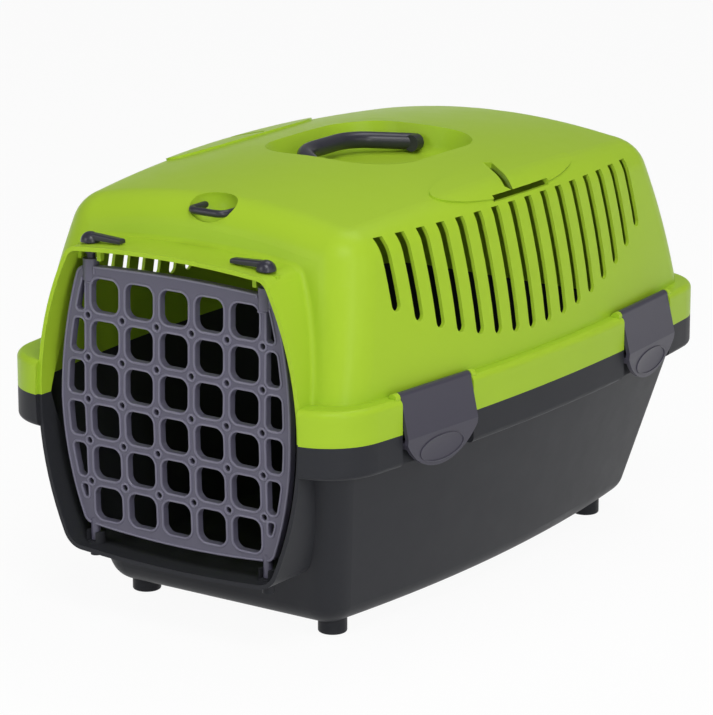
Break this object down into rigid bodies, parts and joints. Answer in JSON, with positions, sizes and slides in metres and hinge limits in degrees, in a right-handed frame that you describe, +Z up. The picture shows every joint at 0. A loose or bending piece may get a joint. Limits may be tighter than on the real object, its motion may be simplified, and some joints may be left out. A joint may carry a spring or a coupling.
{
  "type": "pet carrier",
  "caption": "Hard pet carrier with a lattice door, a lift-off vented top on a tub, side clips, turning door levers, a folding handle and strap eyelets.",
  "frame": {"origin": "on the floor under the middle of the whole carrier", "axes": "+Z up, the door faces -Y, +X to the right hand of someone who faces the door from outside, so the picture's near long side is +X"},
  "size_m": [0.3224, 0.4699, 0.3026],
  "materials": {
    "tub_plastic": "fine matt grain, near black",
    "shell_plastic": "satin, lime green",
    "door_plastic": "satin, grey with a violet cast",
    "clip_plastic": "satin, dark grey",
    "fitting_plastic": "satin, charcoal"
  },
  "bodies": {
    "base": {"tub": "tub_plastic"},
    "lid": {"top_shell": "shell_plastic", "eyelet_front": "fitting_plastic", "eyelet_rear": "fitting_plastic"},
    "door": {"door": "door_plastic"},
    "left_lever": {"lever_left": "fitting_plastic"},
    "right_lever": {"lever_right": "fitting_plastic"},
    "front_left_clip": {"clip_front_left": "clip_plastic"},
    "front_right_clip": {"clip_front_right": "clip_plastic"},
    "rear_left_clip": {"clip_rear_left": "clip_plastic"},
    "rear_right_clip": {"clip_rear_right": "clip_plastic"},
    "handle": {"handle": "fitting_plastic"}
  },
  "joints": [
    {"name": "lid_lift", "type": "slide", "parent": "base", "child": "lid", "axis": [0, 0, 1], "range_m": [0, 0.2]},
    {"name": "door_hinge", "type": "hinge", "parent": "base", "child": "door", "pos_m": [-0.0725, -0.2185, 0.15], "axis": [0, 0, -1], "range_deg": [0, 110]},
    {"name": "left_lever_turn", "type": "hinge", "parent": "lid", "child": "left_lever", "pos_m": [-0.0725, -0.2185, 0.265], "axis": [0, 0, -1], "range_deg": [0, 90]},
    {"name": "right_lever_turn", "type": "hinge", "parent": "lid", "child": "right_lever", "pos_m": [0.0725, -0.2185, 0.265], "axis": [0, 0, 1], "range_deg": [0, 90]},
    {"name": "front_left_clip_hinge", "type": "hinge", "parent": "lid", "child": "front_left_clip", "pos_m": [-0.14766, -0.13701, 0.1782], "axis": [-0.0877, 0.9962, 0], "range_deg": [0, 75]},
    {"name": "front_right_clip_hinge", "type": "hinge", "parent": "lid", "child": "front_right_clip", "pos_m": [0.14766, -0.13701, 0.1782], "axis": [-0.0877, -0.9962, 0], "range_deg": [0, 75]},
    {"name": "rear_left_clip_hinge", "type": "hinge", "parent": "lid", "child": "rear_left_clip", "pos_m": [-0.14867, 0.13055, 0.1782], "axis": [0.0802, 0.9968, 0], "range_deg": [0, 75]},
    {"name": "rear_right_clip_hinge", "type": "hinge", "parent": "lid", "child": "rear_right_clip", "pos_m": [0.14867, 0.13055, 0.1782], "axis": [0.0802, -0.9968, 0], "range_deg": [0, 75]},
    {"name": "handle_fold", "type": "hinge", "parent": "lid", "child": "handle", "pos_m": [0, 0.003, 0.291], "axis": [0, 1, 0], "range_deg": [0, 172]}
  ]
}
